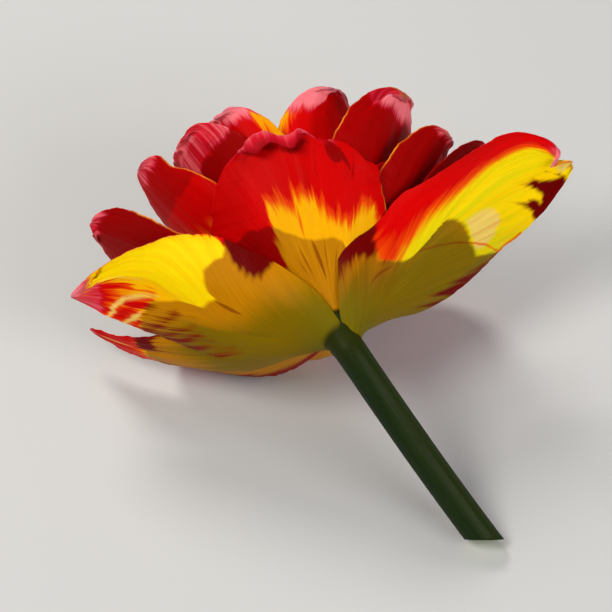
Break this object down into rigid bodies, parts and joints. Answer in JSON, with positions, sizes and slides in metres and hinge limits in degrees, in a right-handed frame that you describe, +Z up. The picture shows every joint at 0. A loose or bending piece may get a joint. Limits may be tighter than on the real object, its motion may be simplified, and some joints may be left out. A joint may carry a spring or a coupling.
{
  "type": "parrot tulip",
  "caption": "Cut tulip lying down: a wide-open double bloom of red and yellow flamed, gently waved petals on a short bent stem.",
  "frame": {"origin": "centre of the footprint, at the height of the surface that the flower lies on", "axes": "+Z up; +X to the viewer's right along the bloom's width; -Y toward the cut end of the stem, +Y into the mouth of the bloom"},
  "size_m": [0.128, 0.1038, 0.0728],
  "materials": {
    "red_petal": "satin petal, red with a yellow flame from its base",
    "yellow_petal": "satin petal, yellow with a green midrib and red feathering",
    "stem": "smooth waxy green skin",
    "pistil": "pale green, downy on its three lobes",
    "stamen": "dark filament and powdery anther"
  },
  "bodies": {
    "root": {"stem": "stem", "pistil": "pistil", "stamen_1": "stamen", "stamen_2": "stamen", "stamen_3": "stamen", "stamen_4": "stamen", "stamen_5": "stamen", "stamen_6": "stamen", "outer_petal_left": "yellow_petal", "outer_petal_right": "yellow_petal", "outer_petal_low_left": "yellow_petal", "outer_petal_floor_left": "yellow_petal", "outer_petal_floor": "yellow_petal", "second_petal_low_right": "red_petal", "second_petal_left": "red_petal", "second_petal_top": "red_petal", "second_petal_right": "red_petal", "third_petal_top_right": "red_petal", "third_petal_floor": "red_petal", "third_petal_floor_left": "red_petal", "third_petal_floor_right": "red_petal", "fourth_petal_left": "red_petal", "fourth_petal_right": "red_petal", "fifth_petal_left": "red_petal", "fifth_petal_right": "red_petal", "fifth_petal_floor": "red_petal", "sixth_petal_top_left": "red_petal", "sixth_petal_floor_left": "red_petal", "sixth_petal_floor_right": "red_petal", "inner_petal_top": "red_petal", "inner_petal_floor": "red_petal", "inner_petal_left": "red_petal"}
  },
  "joints": []
}
